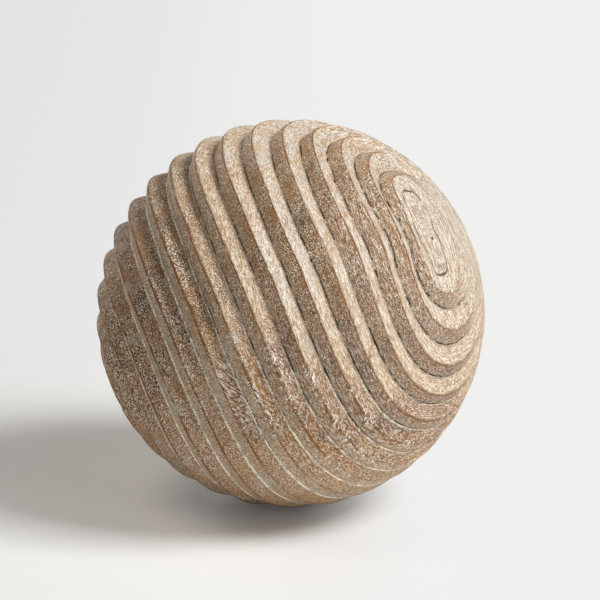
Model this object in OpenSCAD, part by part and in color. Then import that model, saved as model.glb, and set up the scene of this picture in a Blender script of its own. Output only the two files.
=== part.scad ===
// Carved wooden ball
// One solid ball of wood. Nested oval ridges ring a small flat island on its
// upper front and close again on a cap at the far side. Each ridge climbs from
// its inner groove up a tread to a rounded crest, then drops down a wall to the
// next groove. The ball stands on the origin. Lengths are in millimetres, and
// those on the surface are measured along the curve of the ball.

/* [Ball] */
// Diameter over the crests of the ridges
ball_d = 254; // [203:1:305]

/* [Island] */
// Length of the flat island that the ridges ring
island_l = 60; // [40:1:76]
// Width of the island
island_w = 18; // [12:1:24]
// How far the island lies in front of the carving's axis
island_shift = 3.6; // [0:0.1:5]
// How square the island's outline is: 2 is an ellipse
island_exponent = 4; // [2:0.1:5]
// Depth of the shallow groove round the island
island_groove = 1.2; // [0.4:0.1:2.5]
// Least width of the ridge that runs round the island
island_ridge = 10; // [4:0.1:12]

/* [Ridge rings] */
// Half the width of the oval that the first groove follows
first_groove = 34.6; // [30:0.1:42]
// Width of one ridge, from groove to groove
ridge_pitch = 19.3; // [15:0.1:26]
// How far the ridges crowd toward the island
pitch_bow = 6.6; // [0:0.1:12]
// How far the hand-laid grooves wander from an even pitch
pitch_drift = 1.4; // [0:0.1:2.5]
// Number of ridges in one wave of that wander
drift_count = 6.5; // [5:0.1:12]
// How much longer than wide the half ovals are
oval_stretch = 28.5; // [5:0.1:34]
// How much of that stretch the first oval lacks
inner_squeeze = 10.8; // [0:0.1:20]
// Half width from which the ovals lengthen further
flare_from = 157; // [120:1:200]
// Extra half length for each millimetre of half width past that
flare = 0.2; // [0:0.01:0.3]
// How full the ovals are: 2 is an ellipse
oval_exponent = 2.08; // [1.9:0.01:2.6]
// How far the rings' middle lies behind the carving's axis
ring_shift = 14.2; // [0:0.1:18]
// How far the grooves wander where the ovals end on the -X side of the carving
end_drift = 5.7; // [0:0.1:8]
// Number of ridges in one wave of that wander
end_count = 12; // [9:0.1:16]
// Number of the groove at which it changes side
end_number = 12.4; // [9:0.1:15]
// How closely it keeps to the end: 1 spreads it, 4 keeps it close
end_exponent = 3.1; // [1:0.1:4]
// How far the ovals run on past that end of their curve
end_reach = 7.8; // [0:0.1:12]
// How closely that reach keeps to the end
reach_exponent = 9.1; // [4:0.1:12]

/* [Ridge section] */
// Depth of the grooves below the crests
groove_depth = 5.9; // [2:0.1:9]
// Share of that depth gained at the -X end of the carving and lost at the other
depth_share = 0.35; // [0:0.01:0.5]
// Share of the depth that fades away at the +X end, a quarter turn from the axis
depth_fade = 0.8; // [0:0.01:0.9]
// How closely that fade keeps to the quarter turn
fade_exponent = 6; // [2:0.5:10]
// Share of the depth that fades away beside the island, on its +Y side
side_fade = 0.85; // [0:0.01:0.9]
// Share of a ridge's width that its tread takes at the sides of the ovals
tread_share = 0.43; // [0.3:0.01:0.6]
// What the ends of the ovals add to that share
tread_extra = 0.1; // [0:0.01:0.2]
// Rounding of the crests, about its radius
crest_round = 2.4; // [1:0.1:8]

/* [Lie of the carving] */
// Lean of the carving's axis from upright
carving_lean = 56.2; // [0:0.1:90]
// Heading of that lean, turned from +X about +Z
carving_heading = -33.3; // [-180:0.1:180]
// Turn of the ovals about their own axis
carving_spin = -9.1; // [-180:0.1:180]

/* [Hidden] */
limed_wood = [0.74, 0.62, 0.49];

ball_r = ball_d / 2;
// Points round one ring, and places across one ridge where a ring is laid:
// 0 is the inner groove, 1 the crest and 2 the outer groove
ring_points = 56;
ridge_steps = [0, 0.45, 0.85, 1.15, 1.55];
island_steps = [1.5, 1.85];
// Angles from the axis over which the ovals turn into ovals round the far point
turn_from_angle = 95;
turn_span_angle = 45;
// Angles over which the rings' middle moves back to the axis
middle_from_angle = 118;
middle_span_angle = 50;
// Angles from the axis over which the depth comes back beside the island, and
// how far to that side, as a sine, it takes to fade
side_from_angle = 55;
side_span_angle = 45;
side_reach = 0.8;
// Least half width of the cap that the last groove leaves at the far point
least_cap = 10;

half_round = PI * ball_r;
ring_count = 1 + floor((half_round - first_groove - ring_shift - least_cap) / ridge_pitch);

// Length along the surface as an angle at the middle of the ball
function arc(len) = len / half_round * 180;

// Eased step from 0 to 1
function ease(x) = let (c = max(0, min(1, x))) c * c * (3 - 2 * c);

// Distance from an oval's middle to its edge in direction a: half width w
// across, half length l along, and fullness n
function oval(w, l, n, a) = pow(pow(abs(cos(a)) / l, n) + pow(abs(sin(a)) / w, n), -1 / n);

// Half width of the oval of groove k, counted out from the island
function groove_half(k) =
    first_groove + ridge_pitch * (k - 1)
    - pitch_bow * sin(180 * (k - 1) / ring_count)
    - pitch_drift * sin(360 * (k - 1) / drift_count);

// What the half length of groove k has over its half width
function groove_extra(k) =
    oval_stretch - inner_squeeze * exp(-pow(k - 1, 2))
    + flare * max(0, groove_half(k) - flare_from);

// Angle from the carving's axis to full groove k in direction a
function ring_groove(k, a) =
    let (w = arc(groove_half(k)))
    let (l = w + min(arc(groove_extra(k)), (180 - w) / 2))
    let (far = ease((w - turn_from_angle) / turn_span_angle))
    let (near_t = oval(w, l, oval_exponent, a))
    let (far_t = 180 - oval(180 - w, 180 - l, 2, a))
    let (held = 1 - ease((w - middle_from_angle) / middle_span_angle))
    let (wander = arc(end_drift) * sin(360 * (end_number - k) / end_count))
    let (toward_end = max(0, -cos(a)))
    let (reach = arc(end_reach) * sin(min(w, 90)))
    let (at_end = wander * pow(toward_end, end_exponent) + reach * pow(toward_end, reach_exponent))
    (1 - far) * near_t + far * far_t + held * (arc(ring_shift) * sin(a) + at_end);

// Angle from the axis to the groove round the island in direction a
function island_edge(a) =
    arc(oval(island_w / 2, island_l / 2, island_exponent, a) - island_shift * sin(a));

// Angle from the axis to any groove: -1 is the island's middle, 0 its edge,
// and one past the last groove is the far point
function groove(k, a) =
    k < 0 ? 0 :
    k == 0 ? island_edge(a) :
    k > ring_count ? 180 :
    k > 1 ? ring_groove(k, a) :
    max(ring_groove(k, a), island_edge(a) + arc(island_ridge));

// Share of the full depth at angle w from the axis in direction a
function depth_at(w, a) =
    let (at_end = pow(sin(w), fade_exponent) * pow(max(0, cos(a)), 2))
    let (near = 1 - ease((w - side_from_angle) / side_span_angle))
    let (beside = near * ease(sin(a) / side_reach))
    (1 - depth_share * sin(w) * cos(a)) * (1 - depth_fade * at_end) * (1 - side_fade * beside);

// Depth of groove k in direction a, less where its ridges are narrow
function groove_cut(k, a) =
    k < 0 || k > ring_count ? 0 :
    k == 0 ? island_groove :
    groove_depth * depth_at(groove(k, a), a)
        * min(1, (groove(k + 1, a) - groove(k - 1, a)) / 2 / arc(ridge_pitch));

// Share of the way from groove k to the next at which the crest stands
function crest_share(k, a) = k < 0 ? 0 : tread_share + tread_extra * pow(cos(a), 2);

// Fall from a rounded crest, 0 at the crest and 1 at the groove
function fall(x) =
    let (c = crest_round / (ridge_pitch / 2))
    (sqrt(x * x + c * c) - c) / (sqrt(1 + c * c) - c);

// Point on ridge k at place u across it, in direction a round the axis
function carved_point(k, u, a) =
    let (inner = groove(k, a), outer = groove(k + 1, a), share = crest_share(k, a))
    let (t = inner + (outer - inner) * (u < 1 ? u * share : share + (u - 1) * (1 - share)))
    let (r = ball_r - groove_cut(u < 1 ? k : k + 1, a) * fall(abs(u - 1)))
    r * [sin(t) * cos(a), sin(t) * sin(a), cos(t)];

// Ball about the origin with the carving's axis along +Z
module carved_solid() {
    rows = concat(
        [for (u = island_steps) [-1, u]],
        [for (k = [0 : ring_count]) for (u = ridge_steps) [k, u]]
    );
    last_row = len(rows) - 1;
    near_point = len(rows) * ring_points;
    far_point = near_point + 1;
    points = concat(
        [for (row = rows) for (i = [0 : ring_points - 1])
            carved_point(row[0], row[1], 360 * i / ring_points)],
        [[0, 0, ball_r], [0, 0, -ball_r]]
    );
    function at(row, i) = row * ring_points + i % ring_points;
    faces = concat(
        [for (i = [0 : ring_points - 1]) [near_point, at(0, i + 1), at(0, i)]],
        [for (row = [0 : last_row - 1]) for (i = [0 : ring_points - 1])
            for (face = [
                [at(row, i), at(row, i + 1), at(row + 1, i + 1)],
                [at(row, i), at(row + 1, i + 1), at(row + 1, i)]
            ]) face],
        [for (i = [0 : ring_points - 1]) [far_point, at(last_row, i), at(last_row, i + 1)]]
    );
    polyhedron(points, faces);
}

// Ball standing on the origin, with its carving turned to its place
module ball() {
    color(limed_wood)
        translate([0, 0, ball_r])
            rotate([0, carving_lean, carving_heading])
                rotate([0, 0, carving_spin])
                    carved_solid();
}

ball();
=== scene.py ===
"""Carved wooden ball with a limed finish, on a pale studio floor.

The ball is one piece. Nested oval ridges ring a small flat island on its upper
front: each climbs from its inner groove up a tread to a crest, then drops down
a wall to the next groove. Geometry Nodes lay the ridges by rule and mark each
point with its place on its ridge, and the limed finish reads those marks.
Lengths are in metres.
"""

import logging
import math
from dataclasses import dataclass, field, fields
from enum import Enum
from typing import Callable, Optional, Union

import bpy
from mathutils import Euler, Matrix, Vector


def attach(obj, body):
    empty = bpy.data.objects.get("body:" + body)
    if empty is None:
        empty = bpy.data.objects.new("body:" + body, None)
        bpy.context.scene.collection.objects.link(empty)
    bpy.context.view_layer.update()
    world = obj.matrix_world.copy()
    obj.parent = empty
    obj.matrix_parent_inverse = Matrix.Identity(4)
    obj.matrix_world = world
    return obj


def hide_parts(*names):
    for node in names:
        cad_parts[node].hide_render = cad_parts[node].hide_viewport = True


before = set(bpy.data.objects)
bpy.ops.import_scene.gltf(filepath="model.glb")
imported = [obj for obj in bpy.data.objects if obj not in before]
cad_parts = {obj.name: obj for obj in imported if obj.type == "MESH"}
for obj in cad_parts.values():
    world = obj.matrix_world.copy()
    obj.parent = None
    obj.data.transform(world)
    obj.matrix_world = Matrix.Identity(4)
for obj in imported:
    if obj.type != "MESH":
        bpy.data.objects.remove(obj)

MM = 0.001
Colour = tuple[float, float, float]
Feed = Union["Wire", float]
Point = tuple[float, float, float]
Span = tuple[float, float]
Strip = tuple[float, float, float, float]

log = logging.getLogger("carved_ball")


class Mark(str, Enum):
    """Names of the values that the carving leaves on the surface."""

    SIDE = "ridge_side"
    RISE = "ridge_rise"
    BREADTH = "ridge_breadth"
    TREAD = "ridge_tread"
    RIDGE = "ridge_number"
    DEPTH = "ridge_depth"
    SLIT = "groove_slit"


def linear(colour: Colour) -> tuple[float, float, float, float]:
    """Turn a display colour into the linear one that shaders take.

    Args:
        colour: Red, green and blue from 0 to 255, as a screen shows them.

    Returns:
        Linear red, green and blue from 0 to 1, and an alpha of 1.
    """
    parts = [c / 255 for c in colour]
    lin = [c / 12.92 if c <= 0.04045 else ((c + 0.055) / 1.055) ** 2.4 for c in parts]
    return lin[0], lin[1], lin[2], 1.0


def wire_operator(operation: str, swapped: bool = False) -> Callable[["Wire", Feed], "Wire"]:
    """Make an arithmetic operator for wires.

    Args:
        operation: The Math node's operation.
        swapped: Whether the wire comes second, as in 1.0 - wire.

    Returns:
        The operator.
    """
    def result(wire: "Wire", other: Feed) -> "Wire":
        """Add the Math node."""
        values = (other, wire) if swapped else (wire, other)
        return wire.plan.math(operation, *values)

    return result


@dataclass
class Wire:
    """A value on its way through a node tree; arithmetic on it adds Math nodes."""

    plan: "NodePlan"
    socket: bpy.types.NodeSocket

    __add__ = wire_operator("ADD")
    __radd__ = wire_operator("ADD", swapped=True)
    __sub__ = wire_operator("SUBTRACT")
    __rsub__ = wire_operator("SUBTRACT", swapped=True)
    __mul__ = wire_operator("MULTIPLY")
    __rmul__ = wire_operator("MULTIPLY", swapped=True)
    __truediv__ = wire_operator("DIVIDE")
    __rtruediv__ = wire_operator("DIVIDE", swapped=True)

    def __neg__(self) -> "Wire":
        """Change the sign."""
        return self * -1.0


@dataclass
class NodePlan:
    """A node tree under construction, with short calls for its common nodes."""

    tree: bpy.types.NodeTree

    def add(self, kind: str, **settings: object) -> bpy.types.Node:
        """Add a node.

        Args:
            kind: The node's type name.
            **settings: Properties to set on it.

        Returns:
            The new node.
        """
        node = self.tree.nodes.new(kind)
        for name, value in settings.items():
            setattr(node, name, value)
        return node

    def feed(self, value: object, socket: bpy.types.NodeSocket) -> None:
        """Bring a wire or a constant to a socket.

        Args:
            value: A Wire to link, or a number, vector or colour to set.
            socket: The input that takes it.
        """
        if isinstance(value, Wire):
            self.tree.links.new(value.socket, socket)
        else:
            socket.default_value = value

    def math(self, operation: str, *values: Feed) -> Wire:
        """Add a Math node.

        Args:
            operation: The node's operation.
            *values: Its inputs in order.

        Returns:
            Its result.
        """
        node = self.add("ShaderNodeMath", operation=operation)
        for value, socket in zip(values, node.inputs):
            self.feed(value, socket)
        return Wire(self, node.outputs[0])

    def ease(self, value: Feed, low: Feed, high: Feed, first: Feed = 0.0, last: Feed = 1.0) -> Wire:
        """Ease from one level to another as a value passes from low to high.

        Args:
            value: What is measured.
            low: Where the first level ends; it may be above high.
            high: Where the last level starts.
            first: Level before low.
            last: Level after high.

        Returns:
            The eased level.
        """
        node = self.add("ShaderNodeMapRange", interpolation_type="SMOOTHSTEP")
        for given, socket in zip((value, low, high, first, last), node.inputs):
            self.feed(given, socket)
        return Wire(self, node.outputs[0])

    def strip(self, value: Wire, start: Feed, full: Feed, full_end: Feed, end: Feed) -> Wire:
        """Rise from 0 to 1 and fall back to 0 as a value passes four places in turn."""
        return self.ease(value, start, full) * self.ease(value, end, full_end)

    def blend(self, share: Feed, first: Feed, second: Feed) -> Wire:
        """Blend two numbers.

        Args:
            share: 0 for the first, 1 for the second.
            first: Number at share 0.
            second: Number at share 1.

        Returns:
            The blended number.
        """
        node = self.add("ShaderNodeMix", data_type="FLOAT")
        self.feed(share, node.inputs[0])
        self.feed(first, node.inputs[2])
        self.feed(second, node.inputs[3])
        return Wire(self, node.outputs[0])

    def paint(self, share: Feed, under: object, over: object, mode: str = "MIX") -> Wire:
        """Lay one colour over another.

        Args:
            share: How much of the upper colour shows, 0 to 1.
            under: The colour below.
            over: The colour on top.
            mode: The blend mode.

        Returns:
            The mixed colour.
        """
        node = self.add("ShaderNodeMix", data_type="RGBA", blend_type=mode)
        self.feed(share, node.inputs[0])
        self.feed(under, node.inputs[6])
        self.feed(over, node.inputs[7])
        return Wire(self, node.outputs[2])

    def vector(self, x: Feed, y: Feed, z: Feed) -> Wire:
        """Join three numbers into a vector.

        Args:
            x: The first number.
            y: The second.
            z: The third.

        Returns:
            The vector.
        """
        node = self.add("ShaderNodeCombineXYZ")
        for value, socket in zip((x, y, z), node.inputs):
            self.feed(value, socket)
        return Wire(self, node.outputs[0])

    def split(self, value: Wire) -> tuple[Wire, Wire, Wire]:
        """Take a vector apart.

        Args:
            value: The vector.

        Returns:
            Its three numbers.
        """
        node = self.add("ShaderNodeSeparateXYZ")
        self.feed(value, node.inputs[0])
        x, y, z = (Wire(self, output) for output in node.outputs)
        return x, y, z

    def scaled(self, value: Wire, factor: Feed) -> Wire:
        """Scale a vector by one factor.

        Args:
            value: The vector.
            factor: What all three of its numbers are multiplied by.

        Returns:
            The scaled vector.
        """
        node = self.add("ShaderNodeVectorMath", operation="SCALE")
        self.feed(value, node.inputs[0])
        self.feed(factor, node.inputs["Scale"])
        return Wire(self, node.outputs[0])


@dataclass(frozen=True)
class Pattern:
    """A noise field.

    Attributes:
        scale: Waves in one unit of place.
        detail: Number of finer layers.
        rough: Strength of each finer layer.
        shift: What is added to a seed, so that fields with one seed differ.
    """

    scale: float
    detail: float = 3.0
    rough: float = 0.6
    shift: float = 0.0

    def over(self, plan: NodePlan, place: Wire, seed: Optional[Wire] = None) -> Wire:
        """Lay the field over a place.

        Args:
            plan: Tree that takes the node.
            place: Where the field is read.
            seed: Picks one field out of many; None for the plain one.

        Returns:
            A value about 0.5, from 0 to 1.
        """
        node = plan.add("ShaderNodeTexNoise", noise_dimensions="3D" if seed is None else "4D")
        plan.feed(place, node.inputs["Vector"])
        if seed is not None:
            plan.feed(seed + self.shift, node.inputs["W"])
        node.inputs["Scale"].default_value = self.scale
        node.inputs["Detail"].default_value = self.detail
        node.inputs["Roughness"].default_value = self.rough
        return Wire(plan, node.outputs[0])


@dataclass(frozen=True)
class Island:
    """The flat island that the ridges ring."""

    island_length: float = 60 * MM
    island_width: float = 18 * MM
    island_shift: float = 3.6 * MM
    island_squareness: float = 4.0
    island_groove: float = 1.2 * MM
    least_ridge: float = 10 * MM


@dataclass(frozen=True)
class RidgeRings:
    """The nested ovals that the grooves follow, measured along the surface."""

    first_groove: float = 34.6 * MM
    ridge_pitch: float = 19.3 * MM
    pitch_bow: float = 6.6 * MM
    pitch_drift: float = 1.4 * MM
    drift_ridges: float = 6.5
    oval_stretch: float = 28.5 * MM
    inner_squeeze: float = 10.8 * MM
    flare_from: float = 157 * MM
    flare: float = 0.2
    oval_fullness: float = 2.08
    ring_shift: float = 14.2 * MM
    end_drift: float = 5.7 * MM
    end_ridges: float = 12.0
    end_ring: float = 12.4
    end_hold: float = 3.1
    end_reach: float = 7.8 * MM
    reach_hold: float = 9.1
    turn_from: float = math.radians(95)
    turn_span: float = math.radians(45)
    middle_from: float = math.radians(118)
    middle_span: float = math.radians(50)


@dataclass(frozen=True)
class RidgeSection:
    """The shape of one ridge from groove to groove."""

    groove_depth: float = 5.9 * MM
    depth_swing: float = 0.35
    depth_fade: float = 0.8
    fade_hold: float = 6.0
    side_fade: float = 0.85
    side_from: float = math.radians(55)
    side_span: float = math.radians(45)
    side_reach: float = 0.8
    tread_share: float = 0.43
    tread_extra: float = 0.1
    sharp_crest: float = 0.09
    blunt_crest: float = 0.16
    slit_depth: float = 1.5 * MM
    slit_width: float = 1.0 * MM
    slit_offset: float = 1.0 * MM


@dataclass(frozen=True)
class HandWork:
    """How far the carver's hand and the years have moved the surface."""

    waver: float = 1.2 * MM
    waver_span: float = 42 * MM
    dent_depth: float = 0.35 * MM
    dent_span: float = 7 * MM
    nick_depth: float = 1.3 * MM
    nick_span: float = 6 * MM
    near_lead: float = 1.2 * MM
    far_lag: float = 1.0 * MM


@dataclass(frozen=True)
class HandSpread:
    """Where the hand work shows: its noise fields, and the levels and places that bring it in.

    A span gives where a thing starts and where it is full. The lead's turns and
    reach are angles from the carving's axis and its side is a sine, the worn end
    is a share of the radius toward +X, and a nick's width is a share of its span.
    """

    waver: Pattern = Pattern(1.0, 1.0, 0.5)
    slits: Pattern = Pattern(85.0, shift=1.0)
    slit_levels: Span = (0.5, 0.68)
    dents: Pattern = Pattern(1.0, 2.5, 0.55)
    side_dents: Pattern = Pattern(0.5, 2.0, 0.5, shift=2.0)
    side_dent: float = 0.9 * MM
    nicks: Pattern = Pattern(0.55, 2.0, 0.5, shift=3.0)
    nick_levels: Span = (0.6, 0.72)
    nick_width: float = 0.3
    crest_wear: Pattern = Pattern(24.0, 1.0, 0.5, shift=4.0)
    worn_end: Span = (-0.2, -0.75)
    lead_turns: Span = (math.radians(50), math.radians(76))
    lead_reach: Strip = (math.radians(5), math.radians(20), math.radians(100), math.radians(125))
    lead_side: Span = (0.2, 0.75)


@dataclass(frozen=True)
class CarvingLie:
    """How the carving is turned on the ball."""

    lean: float = math.radians(56.2)
    heading: float = math.radians(-33.3)
    spin: float = math.radians(-9.1)

    def turn(self) -> Euler:
        """Give the turn from the carving's own axes to the ball's place."""
        whole = Euler((0, self.lean, self.heading)).to_matrix() @ Euler((0, 0, self.spin)).to_matrix()
        return whole.to_euler()


@dataclass
class RingRule:
    """The rule that says where each groove runs, laid out as nodes.

    Angles are in radians from the carving's axis, and a direction is an angle
    round that axis, with 0 along the ovals.
    """

    plan: NodePlan
    size: dict[str, Wire]
    radius: float
    ring_count: int

    def sine(self, angle: Feed) -> Wire:
        """Give the sine of an angle."""
        return self.plan.math("SINE", angle)

    def oval(self, half_width: Feed, half_length: Feed, fullness: Feed, direction: Wire) -> Wire:
        """Give the distance from an oval's middle to its edge.

        Args:
            half_width: Half the oval's width.
            half_length: Half the oval's length.
            fullness: 2 for an ellipse, more for a squarer oval.
            direction: Where the edge is met.

        Returns:
            The distance, in the unit of the half width.
        """
        math_node = self.plan.math
        along = math_node("ABSOLUTE", math_node("COSINE", direction)) / half_length
        across = math_node("ABSOLUTE", self.sine(direction)) / half_width
        total = math_node("POWER", along, fullness) + math_node("POWER", across, fullness)
        return math_node("POWER", total, -1.0 / fullness)

    def ring_groove(self, ring: Wire, direction: Wire) -> Wire:
        """Give the angle from the axis to a full groove.

        Args:
            ring: Number of the groove, from 1 next to the island.
            direction: Where the groove is met.

        Returns:
            The angle.
        """
        plan, size = self.plan, self.size
        step = ring - 1.0
        half = (
            size["first_groove"] + size["ridge_pitch"] * step
            - size["pitch_bow"] * self.sine(step * (math.pi / self.ring_count))
            - size["pitch_drift"] * self.sine(step * math.tau / size["drift_ridges"])
        )
        squeeze = plan.math("EXPONENT", -(step * step)) * size["inner_squeeze"]
        flared = plan.math("MAXIMUM", half - size["flare_from"], 0.0) * size["flare"]
        wide = half / self.radius
        extra = (size["oval_stretch"] - squeeze + flared) / self.radius
        long = wide + plan.math("MINIMUM", extra, (math.pi - wide) / 2.0)
        far = plan.ease(wide, size["turn_from"], size["turn_from"] + size["turn_span"])
        near_angle = self.oval(wide, long, size["oval_fullness"], direction)
        far_angle = math.pi - self.oval(math.pi - wide, math.pi - long, 2.0, direction)
        held = plan.ease(wide, size["middle_from"], size["middle_from"] + size["middle_span"], 1.0, 0.0)
        wander = size["end_drift"] * self.sine((size["end_ring"] - ring) * math.tau / size["end_ridges"])
        toward_end = plan.math("MAXIMUM", -plan.math("COSINE", direction), 0.0)
        wander = wander * plan.math("POWER", toward_end, size["end_hold"])
        reach = size["end_reach"] * self.sine(plan.math("MINIMUM", wide, math.pi / 2))
        reach = reach * plan.math("POWER", toward_end, size["reach_hold"])
        shift = size["ring_shift"] * self.sine(direction) + wander + reach
        return plan.blend(far, near_angle, far_angle) + shift * held / self.radius

    def island_edge(self, direction: Wire) -> Wire:
        """Give the angle from the axis to the groove round the island.

        Args:
            direction: Where the groove is met.

        Returns:
            The angle.
        """
        size = self.size
        reach = self.oval(
            size["island_width"] / 2.0, size["island_length"] / 2.0, size["island_squareness"], direction
        )
        return (reach - size["island_shift"] * self.sine(direction)) / self.radius

    def groove(self, ring: Wire, direction: Wire) -> Wire:
        """Give the angle from the axis to any groove.

        Args:
            ring: -1 for the island's middle, 0 for its edge, then the full
                grooves, and one past the last for the far point.
            direction: Where the groove is met.

        Returns:
            The angle.
        """
        plan = self.plan
        full_ring = plan.math("MINIMUM", plan.math("MAXIMUM", ring, 1.0), float(self.ring_count))
        full = self.ring_groove(full_ring, direction)
        edge = self.island_edge(direction)
        first = plan.math("MAXIMUM", full, edge + self.size["least_ridge"] / self.radius)
        angle = plan.blend(plan.math("GREATER_THAN", ring, 1.5), first, full)
        angle = plan.blend(plan.math("GREATER_THAN", ring, 0.5), edge, angle)
        angle = plan.blend(plan.math("GREATER_THAN", ring, -0.5), 0.0, angle)
        return plan.blend(plan.math("GREATER_THAN", ring, self.ring_count + 0.5), angle, math.pi)

    def cut(self, ring: Wire, before: Wire, here: Wire, after: Wire, direction: Wire) -> Wire:
        """Give the depth of a groove, less where its ridges are narrow.

        Args:
            ring: Number of the groove.
            before: Angle of the groove before it.
            here: Angle of the groove itself.
            after: Angle of the groove after it.
            direction: Where the groove is met.

        Returns:
            The depth below the crests.
        """
        plan, size = self.plan, self.size
        room = (after - before) * (self.radius / 2.0) / size["ridge_pitch"]
        sine, along = self.sine(here), plan.math("COSINE", direction)
        swing = 1.0 - size["depth_swing"] * sine * along
        near = plan.math("POWER", sine, size["fade_hold"])
        end = plan.math("POWER", plan.math("MAXIMUM", along, 0.0), 2.0)
        fade = 1.0 - size["depth_fade"] * near * end
        beside = plan.ease(plan.math("SINE", direction), 0.0, size["side_reach"])
        beside = beside * plan.ease(here, size["side_from"], size["side_from"] + size["side_span"], 1.0, 0.0)
        fade = fade * (1.0 - size["side_fade"] * beside)
        full = size["groove_depth"] * swing * fade * plan.math("MINIMUM", room, 1.0)
        depth = plan.blend(plan.math("GREATER_THAN", ring, 0.5), size["island_groove"], full)
        depth = depth * plan.math("GREATER_THAN", ring, -0.5)
        return depth * plan.math("LESS_THAN", ring, self.ring_count + 0.5)


@dataclass
class Carving:
    """A grid while its points are carried onto the ridges, as wires of one tree.

    Attributes:
        ball: The ball and its sizes.
        rule: Where the grooves run.
        direction: Angle round the carving's axis.
        ring: Number of the ridge, which is that of its inner groove.
        across: 0 at the inner groove, 1 at the crest and 2 at the outer groove.
        height: 0 at the crest and 1 at either groove.
        on_wall: 1 on the wall and 0 on the tread.
        tread: Share of the breadth that the tread takes.
        angle: Angle from the carving's axis.
        cut: Depth of the groove on the point's side of the crest.
        breadth: Width of the ridge.
        side_width: Width of the tread or the wall, whichever the point is on.
        spot: Point on the plain ball, on the carving's own axes.
    """

    ball: "CarvedBall"
    rule: RingRule
    direction: Wire = field(init=False)
    ring: Wire = field(init=False)
    across: Wire = field(init=False)
    height: Wire = field(init=False)
    on_wall: Wire = field(init=False)
    tread: Wire = field(init=False)
    angle: Wire = field(init=False)
    cut: Wire = field(init=False)
    breadth: Wire = field(init=False)
    side_width: Wire = field(init=False)
    spot: Wire = field(init=False)

    def __post_init__(self) -> None:
        """Place the points of the grid on their ridges."""
        ball, rule = self.ball, self.rule
        plan, size = rule.plan, rule.size
        index = Wire(plan, plan.add("GeometryNodeInputIndex").outputs[0])
        columns = float(ball.points_round + 1)
        row = plan.math("FLOOR", index / columns)
        self.direction = (index - row * columns) * (math.tau / ball.points_round) + math.pi / 2
        place = row / float(ball.rows_across) - 0.5
        self.ring = plan.math("FLOOR", place)
        share = place - self.ring
        self.across = 2.0 * (share - rule.sine(share * (4 * math.pi)) * (ball.crowding / (4 * math.pi)))
        self.height = plan.math("ABSOLUTE", self.across - 1.0)
        self.on_wall = plan.math("GREATER_THAN", self.across, 1.0)

        grooves = [rule.groove(self.ring + step, self.direction) for step in (-1.0, 0.0, 1.0, 2.0)]
        before, inner, outer, after = grooves
        cosine = plan.math("COSINE", self.direction)
        tread = size["tread_share"] + size["tread_extra"] * cosine * cosine
        self.tread = tread * plan.math("GREATER_THAN", self.ring, -0.5)
        wall_part = self.tread + (self.across - 1.0) * (1.0 - self.tread)
        part = plan.blend(self.on_wall, self.across * self.tread, wall_part)
        self.angle = inner + (outer - inner) * part
        near_cut = rule.cut(self.ring, before, inner, outer, self.direction)
        far_cut = rule.cut(self.ring + 1.0, inner, outer, after, self.direction)
        self.cut = plan.blend(self.on_wall, near_cut, far_cut)
        self.breadth = (outer - inner) * ball.radius
        self.side_width = self.breadth * plan.blend(self.on_wall, self.tread, 1.0 - self.tread)
        self.spot = self.on_sphere(self.angle, ball.radius)

    def on_sphere(self, angle: Wire, reach: Feed) -> Wire:
        """Give the point in the grid's direction, at an angle from the axis.

        Args:
            angle: Angle from the carving's axis.
            reach: Distance from the middle of the ball.

        Returns:
            The point, on the carving's own axes.
        """
        rule, plan = self.rule, self.rule.plan
        ring = rule.sine(angle)
        x, y = ring * plan.math("COSINE", self.direction), ring * rule.sine(self.direction)
        return plan.scaled(plan.vector(x, y, plan.math("COSINE", angle)), reach)

    def seeded(self, pattern: Pattern, span: Feed) -> Wire:
        """Lay a seeded noise field over the ball, with a wave of a given span."""
        plan, size = self.rule.plan, self.rule.size
        return pattern.over(plan, plan.scaled(self.spot, 1.0 / span), size["seed"])

    def hand_laid(self) -> Wire:
        """Bend the ridges' lines a little, as a hand lays them.

        Returns:
            The bent angle from the carving's axis.
        """
        plan, size, spread = self.rule.plan, self.rule.size, self.ball.spread
        sine, radius = self.rule.sine(self.angle), self.ball.radius
        waver = (self.seeded(spread.waver, size["waver_span"]) - 0.5) * 2.0
        waver = waver * size["waver"] / radius * sine
        sideways = self.seeded(spread.side_dents, size["dent_span"]) - 0.5
        sideways = sideways * spread.side_dent / radius * sine
        lead = plan.blend(plan.ease(self.angle, *spread.lead_turns), -size["near_lead"], size["far_lag"])
        lead = lead * plan.strip(self.angle, *spread.lead_reach)
        lead = lead / radius * plan.ease(-self.rule.sine(self.direction), *spread.lead_side)
        return self.angle + waver + sideways + lead

    def fall(self) -> Wire:
        """Round the crest, and more so where it is worn.

        Returns:
            The fall from the crest to the groove: 0 at the crest and 1 at the groove.
        """
        plan, size, spread = self.rule.plan, self.rule.size, self.ball.spread
        end = plan.split(self.spot)[0] / self.ball.radius
        mottle = spread.crest_wear.over(plan, self.spot, size["seed"]) - 0.5
        blunt = plan.blend(plan.ease(end, *spread.worn_end), size["sharp_crest"], size["blunt_crest"])
        blunt = blunt * (1.0 + mottle)
        square = blunt * blunt
        top = plan.math("SQRT", self.height * self.height + square) - blunt
        return top / (plan.math("SQRT", 1.0 + square) - blunt)

    def slit(self) -> Wire:
        """Cut the thin slit that runs here and there beside a groove's corner.

        Returns:
            Its depth below the carved surface.
        """
        plan, size, spread = self.rule.plan, self.rule.size, self.ball.spread
        from_groove = (1.0 - self.height) * self.side_width * (1.0 - self.on_wall * 2.0)
        reach = (from_groove + size["slit_offset"]) / size["slit_width"]
        here = plan.ease(spread.slits.over(plan, self.spot, size["seed"]), *spread.slit_levels)
        slit = size["slit_depth"] * plan.math("EXPONENT", -(reach * reach)) * here
        return slit * plan.ease(self.cut, 0.0, size["groove_depth"] * 0.5)

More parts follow.
